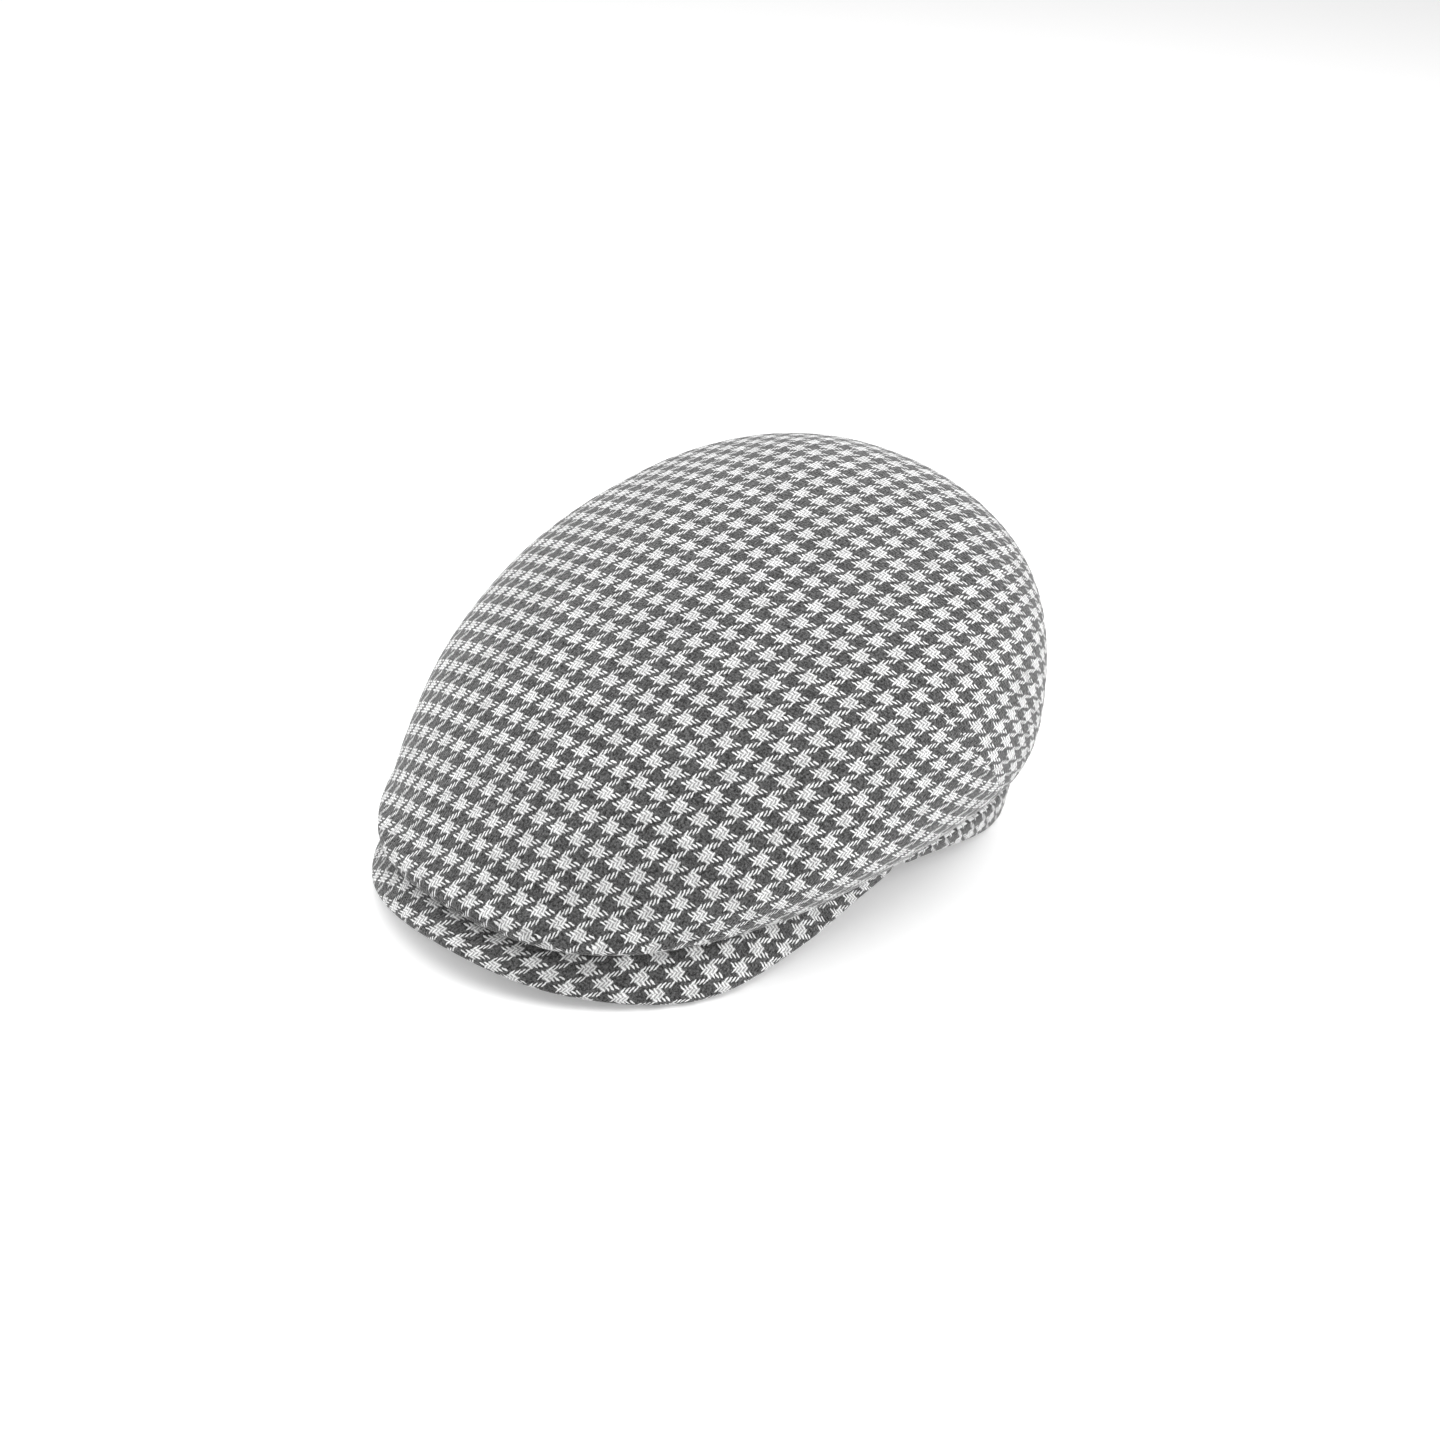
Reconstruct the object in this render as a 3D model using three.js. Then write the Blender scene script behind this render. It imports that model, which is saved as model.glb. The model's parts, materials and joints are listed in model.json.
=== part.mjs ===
import * as THREE from 'three';

// Flat cap in millimetres. The peak points to -Y, the wearer's left is +X, +Z is up.
// The cap stands on z = 0: on the flattened back of its band and on the low corners of its peak.

// Cloth and fit
const CLOTH = 1.8;            // crown wall: one tweed layer and its backing
const PEAK_THICK = 3.6;       // peak board with a layer of cloth on each side
const PEAK_END_THICK = 2.2;   // the peak thins towards its ends
const BAND_THICK = 3.0;       // band: the cloth folded double
const GAP = 0.35;             // clearance kept between the pieces

// Crown, one row per ring from the hem up to the top
const RING = ['front', 'back', 'half', 'zFront', 'zSide', 'zBack', 'nFront', 'nBack', 'shift'];
const CROWN_RINGS = [
  //  front  back   half  zFront zSide zBack nFront nBack shift
  [-121.0, 123.5, 85.0, 23.0, 18.5, 19.0, 2.6, 3.7, 2.0],      // hem
  [-112.0, 128.5, 104.0, 36.0, 43.0, 50.0, 2.25, 2.35, 13.0],  // bulge over the band
  [-94.5, 129.5, 98.0, 55.0, 81.0, 92.0, 2.25, 2.2, 12.0],     // shoulder
  [-66.5, 109.5, 76.0, 79.0, 105.5, 120.0, 2.2, 2.2, 9.5],     // upper
  [-29.0, 87.0, 38.5, 102.0, 121.0, 129.5, 2.15, 2.15, 6.5],   // crest
  [15.0, 71.0, 17.0, 120.0, 128.0, 131.0, 2.15, 2.15, 6.0],    // tip
];
const CROWN_TOP = { y: 50.0, z: 130.0 };
const AROUND = 72;            // columns round the crown
const RISE_STEPS = 3;         // rows between two rings

// Hem roll: the cloth turns under in an arc and runs a short way inwards
const ROLL_RADIUS = 3.2;
const ROLL_STEPS = 5;
const TUCK = 4.0;
const TUCK_RISE_FRONT = 30;   // degrees the tuck climbs inwards at the centre front
const TUCK_RISE_SIDE = 4;     // and beside and behind the ears

// Lower outline of the peak, one row per station from the centre front to the end at the temple
const PEAK_EDGE = [
  // hem angle, x, y, z
  { angle: 0, x: 0.0, y: -129.8, z: 10.0 },
  { angle: 28, x: 43.0, y: -115.4, z: 3.9 },
  { angle: 57, x: 75.3, y: -80.2, z: 0.2 },
  { angle: 78, x: 82.6, y: -36.0, z: 6.0 },
  { angle: 85, x: 81.8, y: -9.0, z: 11.2 },
  { angle: 91, x: 80.2, y: 14.0, z: 13.9 },
];
const PEAK_INSIDE = 30.0;     // how far the peak runs on inside the hem at the front
const PEAK_INSIDE_END = 5.0;  // and at its ends
const PEAK_COLUMNS = 48;
const PEAK_OUT_ROWS = 4;      // rows in the strip that shows
const PEAK_IN_ROWS = 3;       // rows under the crown

// Band: from one end of the peak round the back to the other
const BAND_START = 91.1;      // hem angle where it begins
const BAND_FLAT_FROM = 128;   // from here round the back its edge lies flat on z = 0
const BAND_END_RISE = 14.6;   // height of its lower edge at its ends
const BAND_COLUMNS = 56;
const BAND_ROWS = 3;

// Cloth colours
const TWEED = 0x9a9a9a;

const rad = THREE.MathUtils.degToRad;
const vec = (x, y, z) => new THREE.Vector3(x, y, z);
const power = (value, n) => Math.sign(value) * Math.abs(value) ** (2 / n);

const rings = CROWN_RINGS.map(row => Object.fromEntries(row.map((value, i) => [RING[i], value])));

// A point of a ring at an angle counted from the centre front towards the wearer's left
function ringPoint(ring, angle) {
  const c = Math.cos(angle);
  const s = Math.sin(angle);
  const n = c > 0 ? ring.nFront : ring.nBack;
  const middle = (ring.front + ring.back) / 2;
  const reach = (ring.back - ring.front) / 2;
  const level = (ring.zFront + ring.zBack + 2 * ring.zSide) / 4;
  const pitch = (ring.zFront - ring.zBack) / 2;
  const saddle = (ring.zFront + ring.zBack - 2 * ring.zSide) / 4;
  return vec(
    ring.half * power(s, n),
    middle - reach * power(c, n) + ring.shift * s * s,
    level + pitch * c + saddle * Math.cos(2 * angle),
  );
}

// Smooth curve through four control points, between the middle two
function smooth(p0, p1, p2, p3, t) {
  const mix = axis => 0.5 * (2 * p1[axis] + (p2[axis] - p0[axis]) * t
    + (2 * p0[axis] - 5 * p1[axis] + 4 * p2[axis] - p3[axis]) * t * t
    + (3 * p1[axis] - p0[axis] - 3 * p2[axis] + p3[axis]) * t ** 3);
  return vec(mix('x'), mix('y'), mix('z'));
}

// Angles between two limits, evenly spaced along the hem
const EVEN_SAMPLES = 720;
function evenAngles(from, to, count) {
  const fine = Array.from({ length: EVEN_SAMPLES + 1 }, (_, i) => from + (to - from) * i / EVEN_SAMPLES);
  const run = [0];
  for (let i = 1; i <= EVEN_SAMPLES; i++) {
    run.push(run[i - 1] + ringPoint(rings[0], fine[i]).distanceTo(ringPoint(rings[0], fine[i - 1])));
  }
  return Array.from({ length: count + 1 }, (_, k) => {
    const want = run[EVEN_SAMPLES] * k / count;
    const i = Math.min(EVEN_SAMPLES - 1, Math.max(0, run.findIndex(length => length > want) - 1));
    if (k === count) return to;
    return fine[i] + (fine[i + 1] - fine[i]) * (want - run[i]) / (run[i + 1] - run[i]);
  });
}

// One line of the crown from the hem up to just below the top
function crownLine(angle) {
  const knots = rings.map(ring => ringPoint(ring, angle));
  const below = knots[0].clone().multiplyScalar(2).sub(knots[1]);
  const top = vec(0, CROWN_TOP.y, CROWN_TOP.z);
  const beyond = ringPoint(rings[rings.length - 1], angle + Math.PI);
  const all = [below, ...knots, top, beyond];
  const line = [];
  for (let i = 1; i < all.length - 2; i++) {
    for (let k = 0; k < RISE_STEPS; k++) {
      line.push(smooth(all[i - 1], all[i], all[i + 1], all[i + 2], k / RISE_STEPS));
    }
  }
  return line;
}

// Level direction into the cap, square to the hem
function inwardAt(angle) {
  const step = 0.01;
  const along = ringPoint(rings[0], angle + step).sub(ringPoint(rings[0], angle - step));
  return vec(-along.y, along.x, 0).normalize();
}

function tuckRise(angle) {
  const front = Math.max(0, Math.cos(angle));
  return rad(TUCK_RISE_SIDE + (TUCK_RISE_FRONT - TUCK_RISE_SIDE) * front);
}

// The roll under the hem at one angle: points from the hem round the arc, then the tuck
function hemRoll(angle) {
  const inward = inwardAt(angle);
  const [hem, above] = crownLine(angle);
  const fall = hem.clone().sub(above);
  const start = Math.atan2(fall.z, fall.dot(inward));
  const end = tuckRise(angle);
  const at = (across, up) => hem.clone().addScaledVector(inward, across).add(vec(0, 0, up));
  const centre = { across: -Math.sin(start) * ROLL_RADIUS, up: Math.cos(start) * ROLL_RADIUS };
  const arc = [];
  for (let k = 1; k <= ROLL_STEPS; k++) {
    const turn = start + (end - start) * k / ROLL_STEPS;
    arc.push(at(centre.across + ROLL_RADIUS * Math.sin(turn), centre.up - ROLL_RADIUS * Math.cos(turn)));
  }
  const foot = arc[arc.length - 1];
  const bottom = at(centre.across, centre.up - ROLL_RADIUS);
  const tuck = foot.clone().addScaledVector(inward, TUCK * Math.cos(end)).add(vec(0, 0, TUCK * Math.sin(end)));
  return { arc, tuck, foot, bottom, inward, rise: end };
}

// Normals of a grid that runs round a closed loop, rows from the tuck up to the top
function loopNormals(grid) {
  const columns = grid[0].length;
  return grid.map((row, r) => row.map((_, c) => {
    const down = grid[Math.max(0, r - 1)][c];
    const up = grid[Math.min(grid.length - 1, r + 1)][c];
    const left = row[(c + columns - 1) % columns];
    const right = row[(c + 1) % columns];
    return right.clone().sub(left).cross(up.clone().sub(down)).normalize();
  }));
}

function solid(name, points, faces, material) {
  const geometry = new THREE.BufferGeometry();
  geometry.setAttribute('position', new THREE.Float32BufferAttribute(points.flatMap(p => [p.x, p.y, p.z]), 3));
  geometry.setIndex(faces.flat());
  geometry.computeVertexNormals();
  const mesh = new THREE.Mesh(geometry, material);
  mesh.name = name;
  return mesh;
}

function cloth() {
  return new THREE.MeshStandardMaterial({ color: TWEED, roughness: 0.95, metalness: 0.0 });
}

// Crown: outer skin, inner skin one cloth thickness in, and the cut edge of the tuck
function crown() {
  const angles = evenAngles(0, 2 * Math.PI, AROUND).slice(0, AROUND);
  const lines = angles.map(angle => {
    const roll = hemRoll(angle);
    return [roll.tuck, ...roll.arc.reverse(), ...crownLine(angle)];
  });
  const rows = lines[0].length;
  const outer = Array.from({ length: rows }, (_, r) => lines.map(line => line[r]));
  const normals = loopNormals(outer);
  const inner = outer.map((row, r) => row.map((p, c) => p.clone().addScaledVector(normals[r][c], -CLOTH)));
  const top = vec(0, CROWN_TOP.y, CROWN_TOP.z);
  const points = [...outer.flat(), ...inner.flat(), top, top.clone().add(vec(0, 0, -CLOTH))];
  const id = (r, c) => r * AROUND + (c % AROUND);
  const inside = rows * AROUND;
  const outerTop = 2 * inside;
  const innerTop = outerTop + 1;
  const faces = [];
  for (let c = 0; c < AROUND; c++) {
    for (let r = 0; r < rows - 1; r++) {
      const [a, b, d, e] = [id(r, c), id(r, c + 1), id(r + 1, c + 1), id(r + 1, c)];
      faces.push([a, b, d], [a, d, e]);
      faces.push([inside + a, inside + d, inside + b], [inside + a, inside + e, inside + d]);
    }
    const [p, q] = [id(rows - 1, c), id(rows - 1, c + 1)];
    faces.push([p, q, outerTop], [inside + q, inside + p, innerTop]);
    const [m, n] = [id(0, c), id(0, c + 1)];
    faces.push([inside + m, inside + n, n], [inside + m, n, m]);
  }
  return solid('crown', points, faces, cloth());
}

// Closed slab between an upper and a lower grid of the same size
function slab(name, upper, lower, material) {
  const rows = upper.length;
  const columns = upper[0].length;
  const points = [...upper.flat(), ...lower.flat()];
  const under = rows * columns;
  const id = (r, c) => r * columns + c;
  const faces = [];
  for (let r = 0; r < rows - 1; r++) {
    for (let c = 0; c < columns - 1; c++) {
      const [a, b, d, e] = [id(r, c), id(r, c + 1), id(r + 1, c + 1), id(r + 1, c)];
      faces.push([a, b, d], [a, d, e], [under + a, under + d, under + b], [under + a, under + e, under + d]);
    }
  }
  const wall = (i, j) => faces.push([i, under + i, under + j], [i, under + j, j]);
  for (let c = 0; c < columns - 1; c++) {
    wall(id(0, c), id(0, c + 1));
    wall(id(rows - 1, c + 1), id(rows - 1, c));
  }
  for (let r = 0; r < rows - 1; r++) {
    wall(id(r + 1, 0), id(r, 0));
    wall(id(r, columns - 1), id(r + 1, columns - 1));
  }
  return solid(name, points, faces, material);
}

// Lower outline of the peak at a hem angle in degrees, mirrored for the wearer's right
function peakEdge(degrees) {
  const knots = PEAK_EDGE.map(row => ({ ...row }));
  const mirror = knots.slice(1).reverse().map(row => ({ angle: -row.angle, x: -row.x, y: row.y, z: row.z }));
  const all = [...mirror, ...knots];
  let i = all.findIndex(row => row.angle > degrees + 1e-9) - 1;
  if (i < 0) i = all.length - 2;
  const before = all[Math.max(0, i - 1)];
  const after = all[Math.min(all.length - 1, i + 2)];
  return smooth(before, all[i], all[i + 1], after, (degrees - all[i].angle) / (all[i + 1].angle - all[i].angle));
}

// Peak: from its outer edge up to where the hem lies on it, then on under the crown
function peak() {
  const end = PEAK_EDGE[PEAK_EDGE.length - 1].angle;
  const upper = Array.from({ length: PEAK_OUT_ROWS + PEAK_IN_ROWS + 1 }, () => []);
  const lower = upper.map(() => []);
  for (const angle of evenAngles(-rad(end), rad(end), PEAK_COLUMNS)) {
    const degrees = THREE.MathUtils.radToDeg(angle);
    const roll = hemRoll(angle);
    const ease = Math.cos(degrees / end * Math.PI / 2) ** 2;
    const edge = peakEdge(degrees);
    const climb = roll.inward.clone().multiplyScalar(Math.cos(roll.rise)).add(vec(0, 0, Math.sin(roll.rise)));
    const square = roll.inward.clone().multiplyScalar(-Math.sin(roll.rise)).add(vec(0, 0, Math.cos(roll.rise)));
    const seat = roll.foot.clone().addScaledVector(square, -GAP);
    const depth = PEAK_INSIDE_END + (PEAK_INSIDE - PEAK_INSIDE_END) * ease;
    const thick = PEAK_END_THICK + (PEAK_THICK - PEAK_END_THICK) * Math.sqrt(ease);
    const underSeat = seat.clone().addScaledVector(square, -thick);
    const slope = underSeat.clone().sub(edge);
    const across = slope.dot(roll.inward);
    const lift = vec(0, 0, across).addScaledVector(roll.inward, -slope.z).setLength(thick);
    for (let k = 0; k < PEAK_OUT_ROWS; k++) {
      const below = edge.clone().lerp(underSeat, k / PEAK_OUT_ROWS);
      const above = edge.clone().add(lift).lerp(seat, k / PEAK_OUT_ROWS);
      lower[k].push(below);
      upper[k].push(above);
    }
    for (let k = 0; k <= PEAK_IN_ROWS; k++) {
      const run = climb.clone().multiplyScalar(depth * k / PEAK_IN_ROWS);
      lower[PEAK_OUT_ROWS + k].push(underSeat.clone().add(run));
      upper[PEAK_OUT_ROWS + k].push(seat.clone().add(run));
    }
  }
  return slab('peak', upper, lower, cloth());
}

// Band: an upright strip below the hem whose lower edge lies flat on the floor round the back
function band() {
  const outer = Array.from({ length: BAND_ROWS + 1 }, () => []);
  const inner = outer.map(() => []);
  for (const angle of evenAngles(rad(BAND_START), rad(360 - BAND_START), BAND_COLUMNS)) {
    const degrees = THREE.MathUtils.radToDeg(angle);
    const fromBack = Math.abs(180 - degrees);
    const lift = Math.max(0, fromBack - (180 - BAND_FLAT_FROM)) / (BAND_FLAT_FROM - BAND_START);
    const roll = hemRoll(angle);
    const high = roll.bottom.z - GAP;
    const low = BAND_END_RISE * lift ** 2;
    for (let r = 0; r <= BAND_ROWS; r++) {
      const z = low + (high - low) * r / BAND_ROWS;
      const middle = vec(roll.bottom.x, roll.bottom.y, z);
      outer[r].push(middle.clone().addScaledVector(roll.inward, -BAND_THICK / 2));
      inner[r].push(middle.clone().addScaledVector(roll.inward, BAND_THICK / 2));
    }
  }
  return slab('band', outer, inner, cloth());
}

const cap = new THREE.Group();
cap.name = 'flat_cap';
cap.add(crown(), peak(), band());

export default cap;
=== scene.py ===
import json
import math

import bpy
import numpy as np
from mathutils import Matrix, Vector, noise
from mathutils.bvhtree import BVHTree
from mathutils.geometry import barycentric_transform
from mathutils.kdtree import KDTree

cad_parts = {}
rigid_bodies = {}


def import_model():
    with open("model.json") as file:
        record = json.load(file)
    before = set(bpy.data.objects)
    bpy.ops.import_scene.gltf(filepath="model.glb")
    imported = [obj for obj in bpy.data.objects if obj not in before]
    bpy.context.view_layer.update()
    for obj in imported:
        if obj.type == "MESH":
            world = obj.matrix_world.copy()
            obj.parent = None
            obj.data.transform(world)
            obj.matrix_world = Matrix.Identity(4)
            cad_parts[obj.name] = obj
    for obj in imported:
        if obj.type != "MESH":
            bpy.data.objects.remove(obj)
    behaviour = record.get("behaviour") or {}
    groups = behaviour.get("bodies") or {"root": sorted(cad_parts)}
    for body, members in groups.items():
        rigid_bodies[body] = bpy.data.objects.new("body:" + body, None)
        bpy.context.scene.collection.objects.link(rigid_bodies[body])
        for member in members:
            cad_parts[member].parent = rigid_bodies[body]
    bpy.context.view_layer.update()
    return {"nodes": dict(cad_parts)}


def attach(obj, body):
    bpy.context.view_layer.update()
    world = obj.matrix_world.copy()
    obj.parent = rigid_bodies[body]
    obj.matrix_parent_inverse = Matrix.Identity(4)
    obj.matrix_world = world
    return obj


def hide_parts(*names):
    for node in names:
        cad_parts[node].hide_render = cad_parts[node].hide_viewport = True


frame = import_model()

# Lengths are in metres. Corners closer than WELD are joined. A point nearer than ON_AXIS to
# X = 0 lies on the middle line.
WELD = 0.00002
ON_AXIS = 1e-5
SMOOTH_LEVELS = 2

# Cloth. Eight threads make one repeat of the check: four light, then four dark.
THREAD_ACROSS = 0.0010
THREAD_ALONG = 0.00109
SHIFT_ACROSS = 1.05
SHIFT_ALONG = -0.06
CLOTH_THICK = 0.0016
REPEAT = 8.0
LIGHT_BELOW = 3.5

# The twill, in threads: its repeat, where the floats of each set begin, and half the length and
# half the width of one float.
TWILL = 4.0
ALONG_LEAD = 2.0
ACROSS_LAG = 1.0
FLOAT_LONG = 1.42
FLOAT_WIDE = 0.33
THREAD_MIDDLE = 0.5

# Yarn. The waver is in threads and noise scales are in cells a metre.
NOISE_MEAN = 0.5
WAVER = 0.9
WAVER_SCALE_ACROSS, WAVER_SCALE_ALONG, WAVER_DETAIL = 900.0, 760.0, 4.0
FIBRE_SCALE, FINE_FIBRE_SCALE, FIBRE_DETAIL = 1200.0, 3000.0, 2.0
FIBRE_SHARE, FINE_FIBRE_SHARE = 0.6, 0.4
FIBRE_LOW, FIBRE_HIGH = 0.32, 0.68
CORE_LOW, CORE_HIGH = 0.12, 0.45
PATCH_SCALE, PATCH_DETAIL = 170.0, 3.0
THREAD_KEY = 1.37
FIBRE_RELIEF = 0.5

# Tones: what a full value adds, then the tone without it.
DARK_TONE = (0.15, 0.016)
LIGHT_TONE = (0.14, 0.82)
# Painted shade in the gaps where the light threads of a white square part.
PAINTED_GAP_SHADE = (0.3, 0.26)
# Painted shade: the cloth darkens where the threads dip into the hollows between floats.
PAINTED_HOLLOW_SHADE = (0.15, 0.85)
PATCH_TONE = (0.7, 0.57)
YARN_TONE = 0.16

# The crown's cloth hangs on one thread along the middle and one across the front.
NET_STEP = 0.004
NET_BEYOND = 0.026
FRONT_THREAD = Vector((0, -0.085, 0.09))
STEPS_BACK, STEPS_FRONT, STEPS_ACROSS = 86, 26, 56
STEPS_PAST_DART, ROWS_BEFORE_DART = 34, 12
SETTLE_ROUNDS = 7
LEAST_CROSSING = 0.1

# A dart runs down from its top, in the plane that its across vector is square to. The right
# side has the mirror of each.
SIDE_DART = Vector((0.0828, 0.0068, 0.0944))
SIDE_DART_ACROSS = Vector((0.198, 0.738, 0.645)).normalized()
BACK_DART = Vector((0.0630, 0.1072, 0.0980))
BACK_DART_ACROSS = Vector((-0.8, 0.6, 0.0))
DARTS = ((SIDE_DART, SIDE_DART_ACROSS), (BACK_DART, BACK_DART_ACROSS))
DART_FROM_X = 0.02
DART_ABOVE = 0.001
DART_DEEP = 0.0005
DART_WIDE = 0.0016
DART_FADE = 0.012
SLIT_WIDE = 0.00011

# At the back corners the cloth is let out from the pinch that the net leaves there.
EASE_FROM_X, EASE_FROM_Y, EASE_BELOW = 0.015, 0.062, 0.114
EASE_ROUNDS = 1200
EASE_CARRY = 0.9

# The crown's edge is rolled under. A roll weight of ROLLED or more lies past the hem.
ROLL_ROWS = 6
ROLLED = 0.01
ROLL_COST = 10
CROWN_CENTRE_Y = 0.01

# The hem stands out in a soft fold, most over the peak, and the cloth is never quite even.
HEM_PUFF = 0.0020
HEM_PUFF_SIDE = 0.25
HEM_PUFF_TALL = 0.010
HEM_PUFF_FRONT_Y, HEM_PUFF_SIDE_Y, HEM_PUFF_FADE = -0.02, 0.07, 0.05
HEM_LIFT = 0.0012
HEM_PUCKER, HEM_PUCKER_SCALE = 0.0004, 130
UNEVEN, UNEVEN_SCALE = 0.0004, 28

# The band's outer face leans out under the crown's hem, most where the band is tallest.
BAND_FLARE = 0.0022
BAND_TALL = 0.012
BAND_CENTRE_Y = 0.02

# Light and camera. The camera's place and directions are fitted to the photograph.
LIGHT_AIM = Vector((0, 0, 0.06))
CAMERA_PLACE = (0.45972, -0.53313, 0.42498)
CAMERA_RIGHT = Vector((0.745, 0.665, 0.0519)).normalized()
CAMERA_BACK = Vector((0.5679, -0.6733, 0.4735)).normalized()


def share(value):
    """A value held between 0 and 1."""
    return min(max(value, 0.0), 1.0)


def edit(obj):
    """Open one piece in edit mode, with everything else deselected."""
    bpy.ops.object.select_all(action="DESELECT")
    bpy.context.view_layer.objects.active = obj
    obj.select_set(True)
    bpy.ops.object.mode_set(mode="EDIT")


def close():
    """Leave edit mode. The piece stays selected and active."""
    bpy.ops.object.mode_set(mode="OBJECT")


def joined_copy(node, name):
    """A copy of a CAD node's mesh, with its loose triangles joined at their corners."""
    obj = bpy.data.objects.new(name, frame["nodes"][node].data.copy())
    bpy.context.scene.collection.objects.link(obj)
    obj.data.materials.clear()
    edit(obj)
    bpy.ops.mesh.customdata_custom_splitnormals_clear()
    bpy.ops.mesh.select_all(action="SELECT")
    bpy.ops.mesh.remove_doubles(threshold=WELD)
    bpy.ops.mesh.normals_make_consistent(inside=False)
    bpy.ops.mesh.select_all(action="DESELECT")
    close()
    return obj


def to_quads(obj):
    """Join a copy's triangles in pairs."""
    edit(obj)
    bpy.ops.mesh.select_all(action="SELECT")
    bpy.ops.mesh.tris_convert_to_quads(
        face_threshold=math.radians(60), shape_threshold=math.radians(70)
    )
    bpy.ops.mesh.select_all(action="DESELECT")
    close()


def subdivide(obj):
    """Smooth a piece with an applied subdivision surface."""
    edit(obj)
    close()
    bpy.ops.object.modifier_add(type="SUBSURF")
    smooth = obj.modifiers[-1]
    smooth.levels = smooth.render_levels = SMOOTH_LEVELS
    bpy.ops.object.modifier_apply(modifier=smooth.name)


def neighbours(mesh):
    """The vertices that each vertex shares an edge with."""
    near = [[] for _ in mesh.vertices]
    for e in mesh.edges:
        a, b = e.vertices
        near[a].append(b)
        near[b].append(a)
    return near


def rows_from(near, start):
    """How many edges away each vertex is from the nearest one in start."""
    row = {v: 0 for v in start}
    edge = list(start)
    while edge:
        fresh = []
        for v in edge:
            for w in near[v]:
                if w not in row:
                    row[w] = row[v] + 1
                    fresh.append(w)
        edge = fresh
    return row


def open_rim(mesh):
    """The vertices along a mesh's open edge."""
    used = {}
    for p in mesh.polygons:
        for k in p.edge_keys:
            used[k] = used.get(k, 0) + 1
    return sorted({v for k, n in used.items() if n == 1 for v in k})


def onto(tree, p):
    """A point brought onto the surface, or onto its tangent where the surface has ended."""
    q, n, _, _ = tree.find_nearest(p)
    return p - n * (p - q).dot(n), n, (p - q).length


def walk(tree, start, heading, count, centred=False):
    """A thread laid straight over the surface: equal steps from start."""
    p, n, _ = onto(tree, start)
    points = [p]
    for _ in range(count):
        heading = (heading - n * heading.dot(n)).normalized()
        q, n, _ = onto(tree, p + heading * NET_STEP)
        if centred:
            q.x = 0.0
        heading = (q - p).normalized()
        p = p + heading * NET_STEP
        points.append(p)
    return points


def settle(tree, p, a, b):
    """The crossing that lies one step from both of its neighbours, on the surface."""
    for _ in range(SETTLE_ROUNDS):
        p, n, away = onto(tree, p)
        if away > NET_BEYOND:
            return None
        pa, pb = p - a, p - b
        short_a, short_b = NET_STEP - pa.length, NET_STEP - pb.length
        pa, pb = pa.normalized(), pb.normalized()
        ga, gb = pa - n * pa.dot(n), pb - n * pb.dot(n)
        aa, ab, bb = ga.dot(ga), ga.dot(gb), gb.dot(gb)
        det = max(aa * bb - ab * ab, LEAST_CROSSING)
        p = p + ga * ((short_a * bb - short_b * ab) / det)
        p = p + gb * ((short_b * aa - short_a * ab) / det)
    return p


def weave_net(tree, along, across):
    """Thread crossings over a surface. Threads keep their spacing and shear where it is domed."""
    net = {(i, 0): p for i, p in enumerate(along)}
    net.update({(0, j): p for j, p in enumerate(across)})
    for i in range(1, len(along)):
        for j in range(1, len(across)):
            a, b, c = net.get((i - 1, j)), net.get((i, j - 1)), net.get((i - 1, j - 1))
            if a is None or b is None or c is None:
                continue
            p = settle(tree, a + b - c, a, b)
            if p is not None:
                net[i, j] = p
    return net


class Lay:
    """Where a point of the crown lies on the flat cloth, read from a net of thread crossings."""

    def __init__(self, net):
        number, points, self.flat, faces = {}, [], [], []
        for (i, j), p in net.items():
            number[i, j] = len(points)
            points.append(p)
            self.flat.append(Vector((j * NET_STEP, i * NET_STEP, 0)))
        for i, j in net:
            quad = [(i, j), (i, j + 1), (i + 1, j + 1), (i + 1, j)]
            if all(k in number for k in quad):
                a, b, c, d = (number[k] for k in quad)
                faces += [(a, b, c), (a, c, d)]
        self.points, self.faces = points, faces
        self.tree = BVHTree.FromPolygons(points, faces)

    def at(self, p):
        q, _, k, _ = self.tree.find_nearest(p)
        tri = self.faces[k]
        return barycentric_transform(
            q, *(self.points[v] for v in tri), *(self.flat[v] for v in tri)
        )


def crown_nets(tree):
    """Two lays of the crown's cloth on its left half: ahead of the side dart, and behind it."""
    middle_back = walk(tree, FRONT_THREAD, Vector((0, 1, 0)), STEPS_BACK, centred=True)
    middle_front = walk(tree, FRONT_THREAD, Vector((0, -1, 0)), STEPS_FRONT, centred=True)
    across = walk(tree, FRONT_THREAD, Vector((1, 0, 0)), STEPS_ACROSS)
    back = weave_net(tree, middle_back, across)
    front = weave_net(tree, middle_front, across)
    ahead = dict(back)
    ahead.update({(-i, j): p for (i, j), p in front.items()})
    top_row, top_column = min(ahead, key=lambda k: (ahead[k] - SIDE_DART).length)
    row = [ahead[top_row, j] for j in range(top_column + 1)]
    row += walk(tree, row[-1], row[-1] - row[-2], STEPS_PAST_DART)[1:]
    behind = weave_net(tree, middle_back[top_row:], row)
    behind = {(i + top_row, j): p for (i, j), p in behind.items()}
    before = weave_net(tree, middle_back[top_row::-1][:ROWS_BEFORE_DART], row)
    behind.update({(top_row - i, j): p for (i, j), p in before.items()})
    for (i, j), p in ahead.items():
        if top_row - ROWS_BEFORE_DART < i < top_row and j <= top_column:
            behind[i, j] = p
    return Lay(ahead), Lay(behind)


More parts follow.
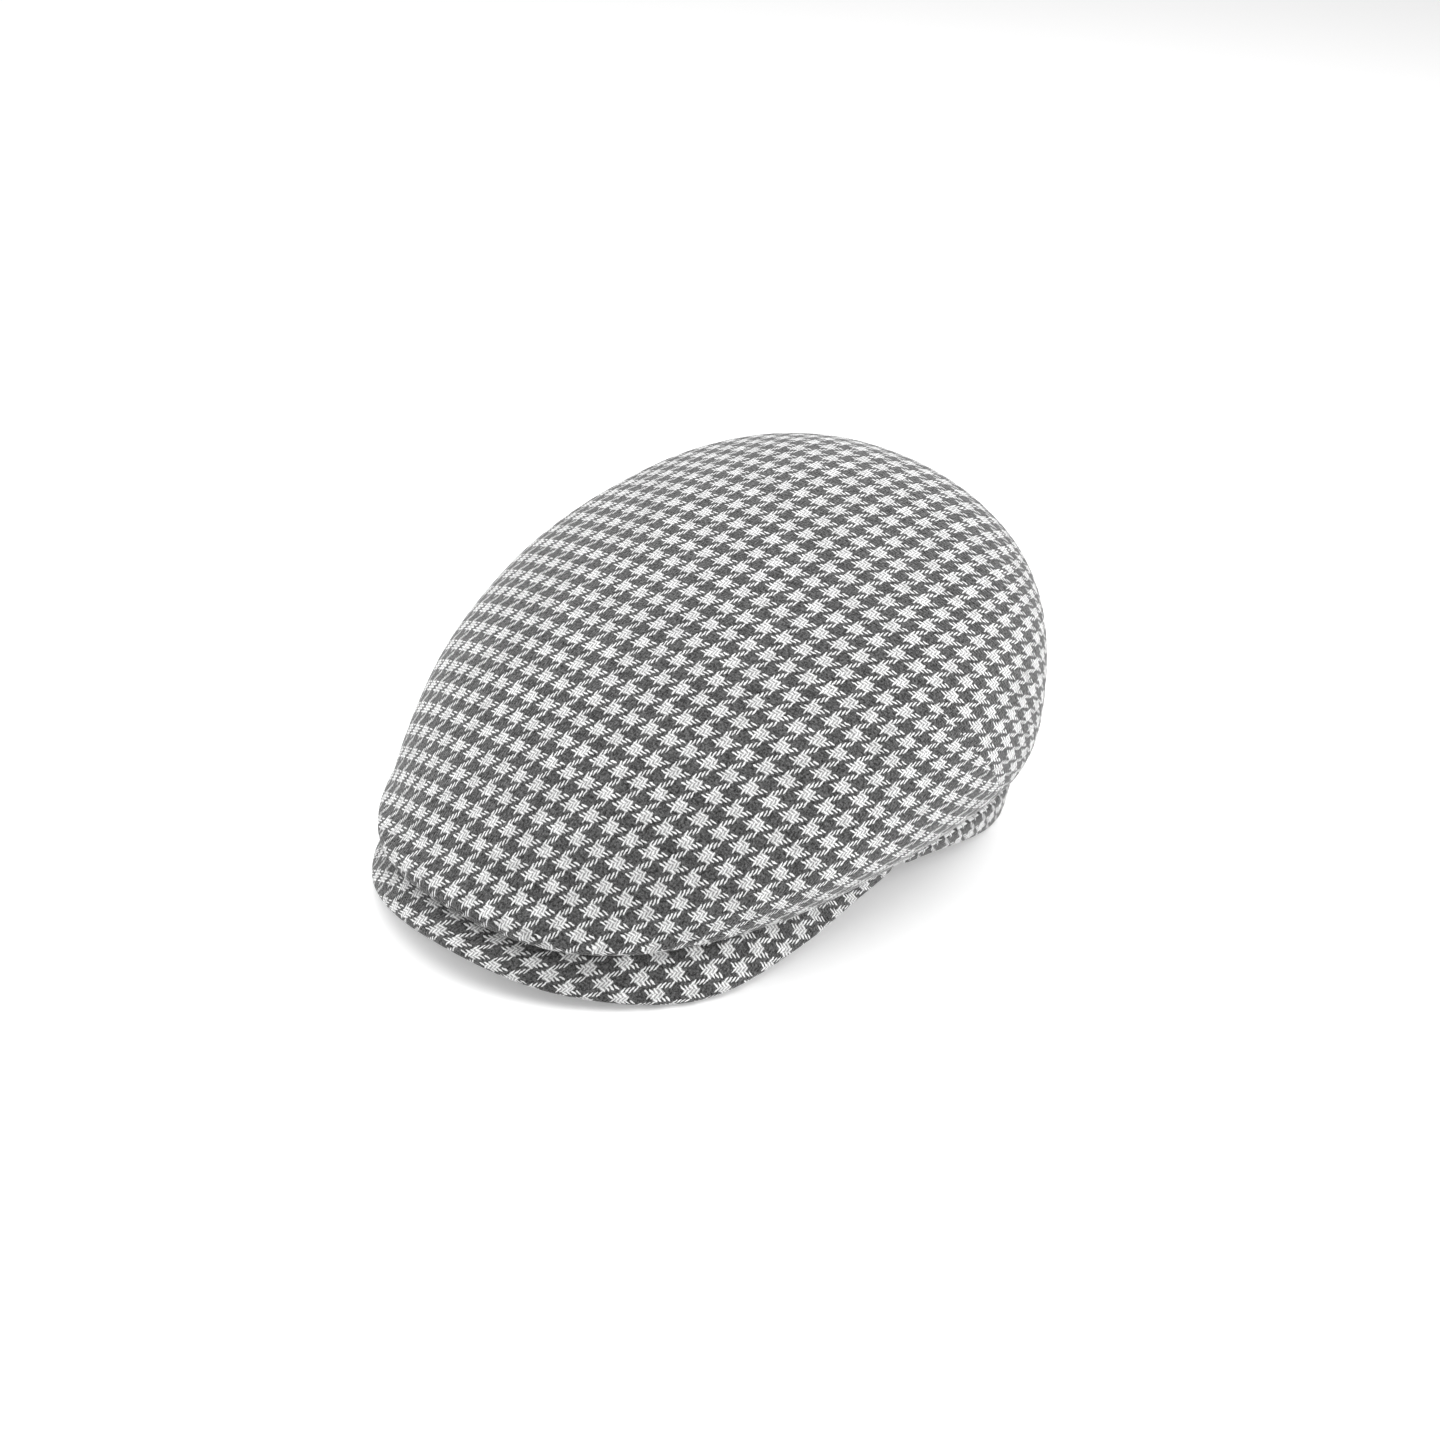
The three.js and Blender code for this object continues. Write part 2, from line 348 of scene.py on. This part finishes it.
def ease(corners, solid, flat, loose):
    """Let pinched cloth back towards its true shape.

    Each triangle pulls its corners to a rigid fit. corners holds three point numbers a triangle.
    solid gives each point's place in space, flat its place on the cloth as a complex number, and
    loose whether it may move.
    """
    a, b, c = (solid[corners[:, k]] for k in range(3))
    long = np.linalg.norm(b - a, axis=1)
    along = ((c - a) * (b - a)).sum(axis=1) / long
    high = np.sqrt(np.maximum(((c - a) ** 2).sum(axis=1) - along ** 2, 0.0))
    q = flat[corners]
    turned = np.sign((np.conj(q[:, 1] - q[:, 0]) * (q[:, 2] - q[:, 0])).imag.sum())
    shape = np.stack([0 * long, long + 0j, along + 1j * high * turned], axis=1)
    shape -= shape.mean(axis=1, keepdims=True)
    count = np.bincount(corners.ravel(), minlength=len(flat))
    move = np.zeros_like(flat)
    for _ in range(EASE_ROUNDS):
        q = flat[corners]
        middle = q.mean(axis=1, keepdims=True)
        turn = (np.conj(shape) * (q - middle)).sum(axis=1, keepdims=True)
        aim = (middle + shape * turn / np.maximum(abs(turn), 1e-12)).ravel()
        total = np.bincount(corners.ravel(), aim.real, len(flat))
        total = total + 1j * np.bincount(corners.ravel(), aim.imag, len(flat))
        move = EASE_CARRY * move + (total / np.maximum(count, 1) - flat)
        flat = np.where(loose, flat + move, flat)
    return flat


def cloth_uv(obj, lay):
    """Write the cloth's threads as a UV map: one unit a thread."""
    layer = obj.data.uv_layers.new(name="cloth")
    for loop, (u, v) in zip(layer.data, lay):
        loop.uv = (u / THREAD_ACROSS + SHIFT_ACROSS, v / THREAD_ALONG + SHIFT_ALONG)
    while obj.data.uv_layers[0].name != "cloth":
        obj.data.uv_layers.remove(obj.data.uv_layers[0])


def crown_wall():
    """The crown's outer face and its rolled edge: the solid split at its sharp edges."""
    obj = joined_copy("crown", "crown_cloth")
    to_quads(obj)
    edit(obj)
    bpy.ops.mesh.select_mode(type="EDGE")
    bpy.ops.mesh.edges_select_sharp(sharpness=math.radians(60))
    bpy.ops.mesh.edge_split(type="EDGE")
    bpy.ops.mesh.select_mode(type="VERT")
    bpy.ops.mesh.select_all(action="DESELECT")
    close()
    widest = max(obj.data.vertices, key=lambda v: v.co.x)
    widest.select = True
    edit(obj)
    bpy.ops.mesh.select_linked()
    bpy.ops.mesh.select_all(action="INVERT")
    bpy.ops.mesh.delete(type="VERT")
    close()
    return obj


def weigh_roll(obj):
    """Weight the rolled edge by how far it runs past the hem. Returns the longest run."""
    mesh = obj.data
    near = neighbours(mesh)
    row = rows_from(near, open_rim(mesh))
    reach = {}
    for v in sorted(row, key=lambda v: -row[v]):
        reach[v] = 0.0
        if row[v] < ROLL_ROWS:
            step, w = min(
                ((mesh.vertices[v].co - mesh.vertices[w].co).length, w)
                for w in near[v] if row[w] == row[v] + 1
            )
            reach[v] = reach[w] + step
    longest = max(reach.values())
    roll = obj.vertex_groups.new(name="roll")
    for v, far in reach.items():
        roll.add([v], far / longest, "REPLACE")
    return longest


def roll_weights(mesh):
    return [v.groups[0].weight if v.groups else 0.0 for v in mesh.vertices]


class Hem:
    """The line where the crown's edge rolls under, and the way that the cloth runs down to it."""

    def __init__(self, mesh, under):
        near = neighbours(mesh)
        line = [
            v for v in range(len(under))
            if under[v] < ROLLED and any(under[w] >= ROLLED for w in near[v])
        ]
        self.tree = KDTree(len(line))
        self.down = {}
        for v in line:
            up = min(near[v], key=lambda w: under[w] * ROLL_COST - mesh.vertices[w].co.z)
            self.down[v] = (mesh.vertices[v].co - mesh.vertices[up].co).normalized()
            self.tree.insert(mesh.vertices[v].co, v)
        self.tree.balance()


def cut_darts(obj):
    """Cut an edge through the crown's faces along each dart, on both sides."""
    for top, across in DARTS:
        for side in (1, -1):
            edit(obj)
            bpy.ops.mesh.select_mode(type="FACE")
            bpy.ops.mesh.select_all(action="DESELECT")
            close()
            for p in obj.data.polygons:
                c = p.center
                p.select = c.x * side > DART_FROM_X and c.y > 0 and c.z < top.z + DART_ABOVE
            edit(obj)
            bpy.ops.mesh.bisect(
                plane_co=(top.x * side, top.y, top.z),
                plane_no=(across.x * side, across.y, across.z),
            )
            bpy.ops.mesh.select_all(action="DESELECT")
            close()


def lay_crown(obj, nets, hem, longest):
    """Lay the cloth on the crown from its nets. The back dart is a slit in the cloth."""
    mesh = obj.data
    under = roll_weights(mesh)

    def spread(v):
        """A vertex under the hem is unrolled straight on below it."""
        p = mesh.vertices[v].co
        if under[v] < ROLLED:
            return p
        _, h, _ = hem.tree.find(p)
        foot, down = mesh.vertices[h].co, hem.down[h]
        along = down.cross(Vector((foot.x, foot.y - CROWN_CENTRE_Y, 0))).normalized()
        return foot + along * (p - foot).dot(along) + down * (under[v] * longest)

    number, solid, laid, loose, faces = {}, [], [], [], []
    for p in mesh.polygons:
        side = 1 if p.center.x >= 0 else -1
        c = Vector((abs(p.center.x), p.center.y, p.center.z))
        behind = (c - SIDE_DART).dot(SIDE_DART_ACROSS) > 0
        past = (c - BACK_DART).dot(BACK_DART_ACROSS) > 0
        face = []
        for v in p.vertices:
            q = mesh.vertices[v].co
            q = Vector((max(q.x * side, 0.0), q.y, q.z))
            in_plane = abs((q - BACK_DART).dot(BACK_DART_ACROSS)) < SLIT_WIDE
            slit = in_plane and q.z < BACK_DART.z and q.y > 0
            key = (v, side, behind, past and slit)
            if key not in number:
                number[key] = len(solid)
                wide = spread(v)
                at = nets[behind].at(Vector((max(wide.x * side, 0.0), wide.y, wide.z)))
                solid.append(wide)
                laid.append(complex(at.x * side, at.y))
                corner = q.x > EASE_FROM_X and q.y > EASE_FROM_Y and q.z < EASE_BELOW
                loose.append(behind and corner)
            face.append(number[key])
        faces.append(face)
    corners = [(f[0], f[k], f[k + 1]) for f in faces for k in range(1, len(f) - 1)]
    corners = np.array([t for t in corners if any(loose[k] for k in t)])
    laid = ease(corners, np.array(solid), np.array(laid), np.array(loose))
    cloth_uv(obj, [(laid[k].real, laid[k].imag) for f in faces for k in f])


def fold_hem(obj, hem):
    """Fold the hem out, make the cloth uneven and crease it along the darts."""
    mesh = obj.data
    under = roll_weights(mesh)
    normal = [v.normal.copy() for v in mesh.vertices]
    for v in mesh.vertices:
        foot, _, far = hem.tree.find(v.co)
        if under[v.index] < ROLLED:
            puff = max(1 - (far / HEM_PUFF_TALL) ** 2, 0.0) ** 2
        else:
            puff = 1 - under[v.index]
        front = share((HEM_PUFF_FRONT_Y - foot.y) / HEM_PUFF_FADE)
        side = share((HEM_PUFF_SIDE_Y - foot.y) / HEM_PUFF_FADE) * HEM_PUFF_SIDE
        out = Vector((foot.x, foot.y - CROWN_CENTRE_Y, 0)).normalized()
        shift = out * (puff * HEM_PUFF * max(front, side))
        shift.z += puff * HEM_LIFT * front
        shift += normal[v.index] * (puff * HEM_PUCKER * noise.noise(v.co * HEM_PUCKER_SCALE))
        shift += normal[v.index] * (UNEVEN * noise.noise(v.co * UNEVEN_SCALE))
        p = Vector((abs(v.co.x), v.co.y, v.co.z))
        v.co += shift
        for top, across in DARTS:
            if p.y > 0 and p.x > DART_FROM_X:
                fade = share((top.z - p.z) / DART_FADE)
                dip = math.exp(-(((p - top).dot(across) / DART_WIDE) ** 2))
                v.co -= normal[v.index] * (DART_DEEP * fade * dip)


def make_crown():
    obj = crown_wall()
    longest = weigh_roll(obj)
    subdivide(obj)
    mesh = obj.data
    under = roll_weights(mesh)
    walls = [
        tuple(p.vertices) for p in mesh.polygons if max(under[v] for v in p.vertices) < ROLLED
    ]
    nets = crown_nets(BVHTree.FromPolygons([v.co for v in mesh.vertices], walls))
    hem = Hem(mesh, under)
    cut_darts(obj)
    lay_crown(obj, nets, hem, longest)
    fold_hem(obj, hem)
    edit(obj)
    close()
    bpy.ops.object.modifier_add(type="SOLIDIFY")
    thick = obj.modifiers[-1]
    thick.thickness = CLOTH_THICK
    thick.offset = -1.0
    bpy.ops.object.modifier_apply(modifier=thick.name)
    return obj


def skins(mesh, middle, outward):
    """The two faces of a bent slab as grids of vertex numbers, keyed by column from the middle.

    outward is the way that the first face looks in the middle column. Each column of a grid runs
    from the slab's higher edge to its lower one.
    """
    near = neighbours(mesh)
    column = rows_from(near, middle)
    columns = {}
    for v, c in column.items():
        side = -1 if mesh.vertices[v].co.x < -ON_AXIS else 1
        columns.setdefault(c * side, []).append(v)
    order = sorted(middle, key=lambda v: -mesh.vertices[v].co.z)
    slope = (mesh.vertices[order[-1]].co - mesh.vertices[order[0]].co).normalized()
    outward = outward - slope * outward.dot(slope)
    order.sort(key=lambda v: mesh.vertices[v].co.dot(slope))
    grids = [
        {0: [v for v in order if mesh.vertices[v].normal.dot(outward) > 0]},
        {0: [v for v in order if mesh.vertices[v].normal.dot(outward) <= 0]},
    ]
    for side in (1, -1):
        c = side
        while c in columns:
            here = set(columns[c])
            pairs = []
            for k, grid in enumerate(grids):
                for r, w in enumerate(grid[c - side]):
                    ahead = mesh.vertices[w].co
                    if c != side:
                        ahead = ahead * 2 - mesh.vertices[grid[c - 2 * side][r]].co
                    pairs += [((mesh.vertices[v].co - ahead).length, v, k, r) for v in here]
                grid[c] = [None] * len(grid[0])
            for _, v, k, r in sorted(pairs):
                if v in here and grids[k][c][r] is None:
                    grids[k][c][r] = v
                    here.discard(v)
            c += side
    return grids


def beside(a, b, to_a, to_b, side):
    """The flat point at these two distances from a and b, on the given side of the line a to b."""
    base = b - a
    along = (to_a ** 2 - to_b ** 2 + base.length ** 2) / (2 * base.length)
    out = math.sqrt(max(to_a ** 2 - along ** 2, 0.0))
    unit = base.normalized()
    return a + unit * along + Vector((-unit.y, unit.x)) * (out * side)


def unroll(mesh, grid):
    """Flat places of a bent slab's face, column by column from the middle, lengths kept."""
    flat = {}
    co = [v.co for v in mesh.vertices]

    def put(column, top, foot):
        steps = [0.0]
        for v, w in zip(column, column[1:]):
            steps.append(steps[-1] + (co[v] - co[w]).length)
        for v, s in zip(column, steps):
            flat[v] = top.lerp(foot, s / steps[-1])

    middle = grid[0]
    long = (co[middle[0]] - co[middle[-1]]).length
    put(middle, Vector((0.0, 0.0)), Vector((0.0, -long)))
    for side in (1, -1):
        c = side
        while c in grid:
            was, now = grid[c - side], grid[c]
            a, b = flat[was[0]], flat[was[-1]]
            ends = []
            for v in (now[0], now[-1]):
                to_a, to_b = (co[v] - co[was[0]]).length, (co[v] - co[was[-1]]).length
                ends.append(beside(a, b, to_a, to_b, side))
            put(now, *ends)
            c += side
    return flat


def slab_uv(obj, first, second):
    """Lay cloth on both faces of a slab. The first face's cloth carries on over the lower edge."""
    mesh = obj.data
    flat = unroll(mesh, first)
    under, edge = {}, {}
    for c, column in first.items():
        other = second[c]
        for v, w in zip(column, other):
            under[w] = flat[v]
        lip = (mesh.vertices[column[-1]].co - mesh.vertices[other[-1]].co).length
        out = (flat[column[-1]] - flat[column[0]]).normalized()
        edge[other[-1]] = flat[column[-1]] + out * lip
    lay = []
    for p in mesh.polygons:
        upper = any(v in flat for v in p.vertices)
        for v in p.vertices:
            if v in flat:
                lay.append(flat[v])
            else:
                lay.append(edge.get(v, under[v]) if upper else under[v])
    cloth_uv(obj, lay)


def clothed_slab(node, outward):
    """A copy of a bent slab with cloth laid on it, and the columns of its outer face."""
    obj = joined_copy(node, node + "_cloth")
    middle = [v.index for v in obj.data.vertices if abs(v.co.x) < ON_AXIS]
    outer, inner = skins(obj.data, middle, outward)
    to_quads(obj)
    slab_uv(obj, outer, inner)
    return obj, outer.values()


def make_peak():
    obj, _ = clothed_slab("peak", Vector((0, 0, 1)))
    subdivide(obj)
    return obj


def make_band():
    obj, columns = clothed_slab("band", Vector((0, 1, 0)))
    for column in columns:
        top, foot = (obj.data.vertices[column[k]].co for k in (0, -1))
        out = Vector((top.x, top.y - BAND_CENTRE_Y, 0)).normalized()
        tall = min((top.z - foot.z) / BAND_TALL, 1.0)
        for k, v in enumerate(column):
            obj.data.vertices[v].co += out * (BAND_FLARE * tall * (1 - k / (len(column) - 1)))
    subdivide(obj)
    return obj


def link(tree, value, socket):
    """Feed a socket from another socket, or set it to a number."""
    if isinstance(value, (int, float)):
        socket.default_value = value
    else:
        tree.links.new(value, socket)


def sums(tree, operation, *values):
    """One arithmetic node."""
    node = tree.nodes.new("ShaderNodeMath")
    node.operation = operation
    for k, value in enumerate(values):
        link(tree, value, node.inputs[k])
    return node.outputs[0]


def pick(tree, mask, no, yes):
    """no where the mask is 0, yes where it is 1."""
    node = tree.nodes.new("ShaderNodeMix")
    link(tree, mask, node.inputs[0])
    link(tree, no, node.inputs[2])
    link(tree, yes, node.inputs[3])
    return node.outputs[0]


def noise_value(tree, vector, scale, detail):
    node = tree.nodes.new("ShaderNodeTexNoise")
    node.inputs["Scale"].default_value = scale
    node.inputs["Detail"].default_value = detail
    tree.links.new(vector, node.inputs["Vector"])
    return node.outputs["Fac"]


def houndstooth():
    """Node group: a two-by-two twill of four light and four dark threads each way."""
    tree = bpy.data.node_groups.new("houndstooth", "ShaderNodeTree")
    for name in ("Threads", "Place"):
        tree.interface.new_socket(name, in_out="INPUT", socket_type="NodeSocketVector")
    for name in ("Light", "Height", "Fibre", "Yarn", "White", "Core"):
        tree.interface.new_socket(name, in_out="OUTPUT", socket_type="NodeSocketFloat")
    into = tree.nodes.new("NodeGroupInput")
    out = tree.nodes.new("NodeGroupOutput")
    place = into.outputs["Place"]

    def wavered(value, scale):
        """A thread count that strays a little from side to side."""
        stray = sums(tree, "SUBTRACT", noise_value(tree, place, scale, WAVER_DETAIL), NOISE_MEAN)
        return sums(tree, "MULTIPLY_ADD", stray, WAVER, value)

    def is_light(thread):
        """1 on the first four threads of each repeat, and 0 on the rest."""
        return sums(tree, "LESS_THAN", sums(tree, "FLOORED_MODULO", thread, REPEAT), LIGHT_BELOW)

    def step(value, low, high):
        """0 below low, 1 above high, and a smooth climb between."""
        node = tree.nodes.new("ShaderNodeMapRange")
        node.interpolation_type = "SMOOTHSTEP"
        node.inputs["From Min"].default_value = low
        node.inputs["From Max"].default_value = high
        tree.links.new(value, node.inputs["Value"])
        return node.outputs[0]

    def float_over(run, wide):
        """How high a thread lies where it floats over two others: a long, pointed stroke."""
        run = sums(tree, "SUBTRACT", sums(tree, "FLOORED_MODULO", run, TWILL), TWILL / 2)
        run = sums(tree, "POWER", sums(tree, "MULTIPLY", run, 1 / FLOAT_LONG), 2.0)
        wide = sums(tree, "POWER", sums(tree, "MULTIPLY", wide, 1 / FLOAT_WIDE), 2.0)
        return sums(tree, "SUBTRACT", sums(tree, "SUBTRACT", 1.0, run), wide)

    split = tree.nodes.new("ShaderNodeSeparateXYZ")
    tree.links.new(into.outputs["Threads"], split.inputs[0])
    x = wavered(split.outputs[0], WAVER_SCALE_ACROSS)
    y = wavered(split.outputs[1], WAVER_SCALE_ALONG)
    i, j = sums(tree, "FLOOR", x), sums(tree, "FLOOR", y)
    along_light, across_light = is_light(i), is_light(j)
    along = float_over(
        sums(tree, "ADD", sums(tree, "SUBTRACT", y, i), ALONG_LEAD),
        sums(tree, "SUBTRACT", sums(tree, "SUBTRACT", x, i), THREAD_MIDDLE),
    )
    across = float_over(
        sums(tree, "SUBTRACT", sums(tree, "SUBTRACT", x, j), ACROSS_LAG),
        sums(tree, "SUBTRACT", sums(tree, "SUBTRACT", y, j), THREAD_MIDDLE),
    )
    along_up = sums(tree, "GREATER_THAN", along, across)
    height = sums(tree, "MAXIMUM", sums(tree, "MAXIMUM", along, across), 0.0)
    fine = noise_value(tree, place, FINE_FIBRE_SCALE, FIBRE_DETAIL)
    fibre = sums(
        tree, "MULTIPLY_ADD", noise_value(tree, place, FIBRE_SCALE, FIBRE_DETAIL), FIBRE_SHARE,
        sums(tree, "MULTIPLY", fine, FINE_FIBRE_SHARE),
    )
    number = sums(tree, "MULTIPLY_ADD", pick(tree, along_up, j, i), THREAD_KEY, along_up)
    thread = tree.nodes.new("ShaderNodeTexWhiteNoise")
    thread.noise_dimensions = "1D"
    tree.links.new(number, thread.inputs["W"])
    results = {
        "Light": pick(tree, along_up, across_light, along_light),
        "Height": height,
        "Fibre": step(fibre, FIBRE_LOW, FIBRE_HIGH),
        "Yarn": thread.outputs["Value"],
        "White": sums(tree, "MULTIPLY", along_light, across_light),
        "Core": step(height, CORE_LOW, CORE_HIGH),
    }
    for name, result in results.items():
        tree.links.new(result, out.inputs[name])
    return tree


def tweed():
    """Woollen houndstooth: grey and off-white yarn, slightly hairy, with painted shade between and
    under the threads.
    """
    mat = bpy.data.materials.new("tweed")
    mat.use_nodes = True
    tree = mat.node_tree
    shader = tree.nodes["Principled BSDF"]
    threads = tree.nodes.new("ShaderNodeUVMap")
    threads.uv_map = "cloth"
    place = tree.nodes.new("ShaderNodeTexCoord")
    weave = tree.nodes.new("ShaderNodeGroup")
    weave.node_tree = houndstooth()
    tree.links.new(threads.outputs["UV"], weave.inputs["Threads"])
    tree.links.new(place.outputs["Object"], weave.inputs["Place"])
    height, fibre = weave.outputs["Height"], weave.outputs["Fibre"]
    dark_tone = sums(tree, "MULTIPLY_ADD", fibre, *DARK_TONE)
    light_tone = sums(tree, "MULTIPLY_ADD", fibre, *LIGHT_TONE)
    # Outside a light float's raised core the cloth shows painted gap shade in white squares, and
    # the dark yarn beside it elsewhere.
    painted_gap_shade = sums(tree, "MULTIPLY_ADD", fibre, *PAINTED_GAP_SHADE)
    dark_yarn_and_gap_shade = pick(tree, weave.outputs["White"], dark_tone, painted_gap_shade)
    light_yarn = pick(tree, weave.outputs["Core"], dark_yarn_and_gap_shade, light_tone)
    tone = pick(tree, weave.outputs["Light"], dark_tone, light_yarn)
    # Painted shade in the hollows between the raised floats.
    painted_hollow_shade = sums(tree, "MULTIPLY_ADD", height, *PAINTED_HOLLOW_SHADE)
    patch = noise_value(tree, place.outputs["Object"], PATCH_SCALE, PATCH_DETAIL)
    patch = sums(tree, "MULTIPLY_ADD", patch, *PATCH_TONE)
    vary = sums(tree, "MULTIPLY_ADD", weave.outputs["Yarn"], YARN_TONE, patch)
    value = sums(tree, "MULTIPLY", tone, sums(tree, "MULTIPLY", painted_hollow_shade, vary))
    colour = tree.nodes.new("ShaderNodeCombineColor")
    for k in range(3):
        tree.links.new(value, colour.inputs[k])
    tree.links.new(colour.outputs[0], shader.inputs["Base Color"])
    bump = tree.nodes.new("ShaderNodeBump")
    bump.inputs["Strength"].default_value = 0.6
    bump.inputs["Distance"].default_value = 0.0005
    relief = sums(tree, "MULTIPLY_ADD", fibre, FIBRE_RELIEF, height)
    tree.links.new(relief, bump.inputs["Height"])
    tree.links.new(bump.outputs["Normal"], shader.inputs["Normal"])
    shader.inputs["Roughness"].default_value = 0.92
    shader.inputs["Specular IOR Level"].default_value = 0.2
    shader.inputs["Sheen Weight"].default_value = 0.4
    shader.inputs["Sheen Roughness"].default_value = 0.35
    return mat


def soft_light(name, place, size, power):
    """A square lamp that looks at the cap."""
    bpy.ops.object.light_add(type="AREA", location=place)
    lamp = bpy.context.object
    lamp.name = name
    lamp.data.size = size
    lamp.data.energy = power
    lamp.rotation_mode = "QUATERNION"
    lamp.rotation_quaternion = (LIGHT_AIM - Vector(place)).to_track_quat("-Z", "Y")


crown, peak, band = make_crown(), make_peak(), make_band()
cloth = tweed()
for piece, node in ((crown, "crown"), (peak, "peak"), (band, "band")):
    edit(piece)
    close()
    bpy.ops.object.shade_smooth()
    piece.data.materials.append(cloth)
    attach(piece, "root")
    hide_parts(node)

# Floor
bpy.ops.mesh.primitive_plane_add(size=8.0, location=(0, 0, 0))
floor = bpy.context.object
floor.name = "floor"
paper = bpy.data.materials.new("pale_floor")
paper.use_nodes = True
paper_shader = paper.node_tree.nodes["Principled BSDF"]
paper_shader.inputs["Base Color"].default_value = (0.85, 0.85, 0.85, 1)
paper_shader.inputs["Roughness"].default_value = 0.9
paper_shader.inputs["Emission Color"].default_value = (1, 1, 1, 1)
paper_shader.inputs["Emission Strength"].default_value = 0.25
floor.data.materials.append(paper)

# Light
bpy.context.scene.view_settings.view_transform = "Standard"
world = bpy.data.worlds.new("studio")
bpy.context.scene.world = world
world.use_nodes = True
sky = world.node_tree.nodes["Background"]
sky.inputs["Color"].default_value = (1, 1, 1, 1)
sky.inputs["Strength"].default_value = 0.5
soft_light("top_light", place=(0.0, 0.15, 1.6), size=2.0, power=20)
soft_light("left_light", place=(-1.1, -0.5, 0.8), size=1.2, power=13)
soft_light("right_light", place=(1.1, 0.7, 0.6), size=1.2, power=15)

# Camera
data = bpy.data.cameras.new("camera")
camera = bpy.data.objects.new("camera", data)
bpy.context.scene.collection.objects.link(camera)
data.sensor_width = 36.0
data.lens = 55.0
up = CAMERA_BACK.cross(CAMERA_RIGHT).normalized()
turn = Matrix((up.cross(CAMERA_BACK), up, CAMERA_BACK)).transposed().to_4x4()
camera.matrix_world = Matrix.Translation(CAMERA_PLACE) @ turn
bpy.context.scene.camera = camera
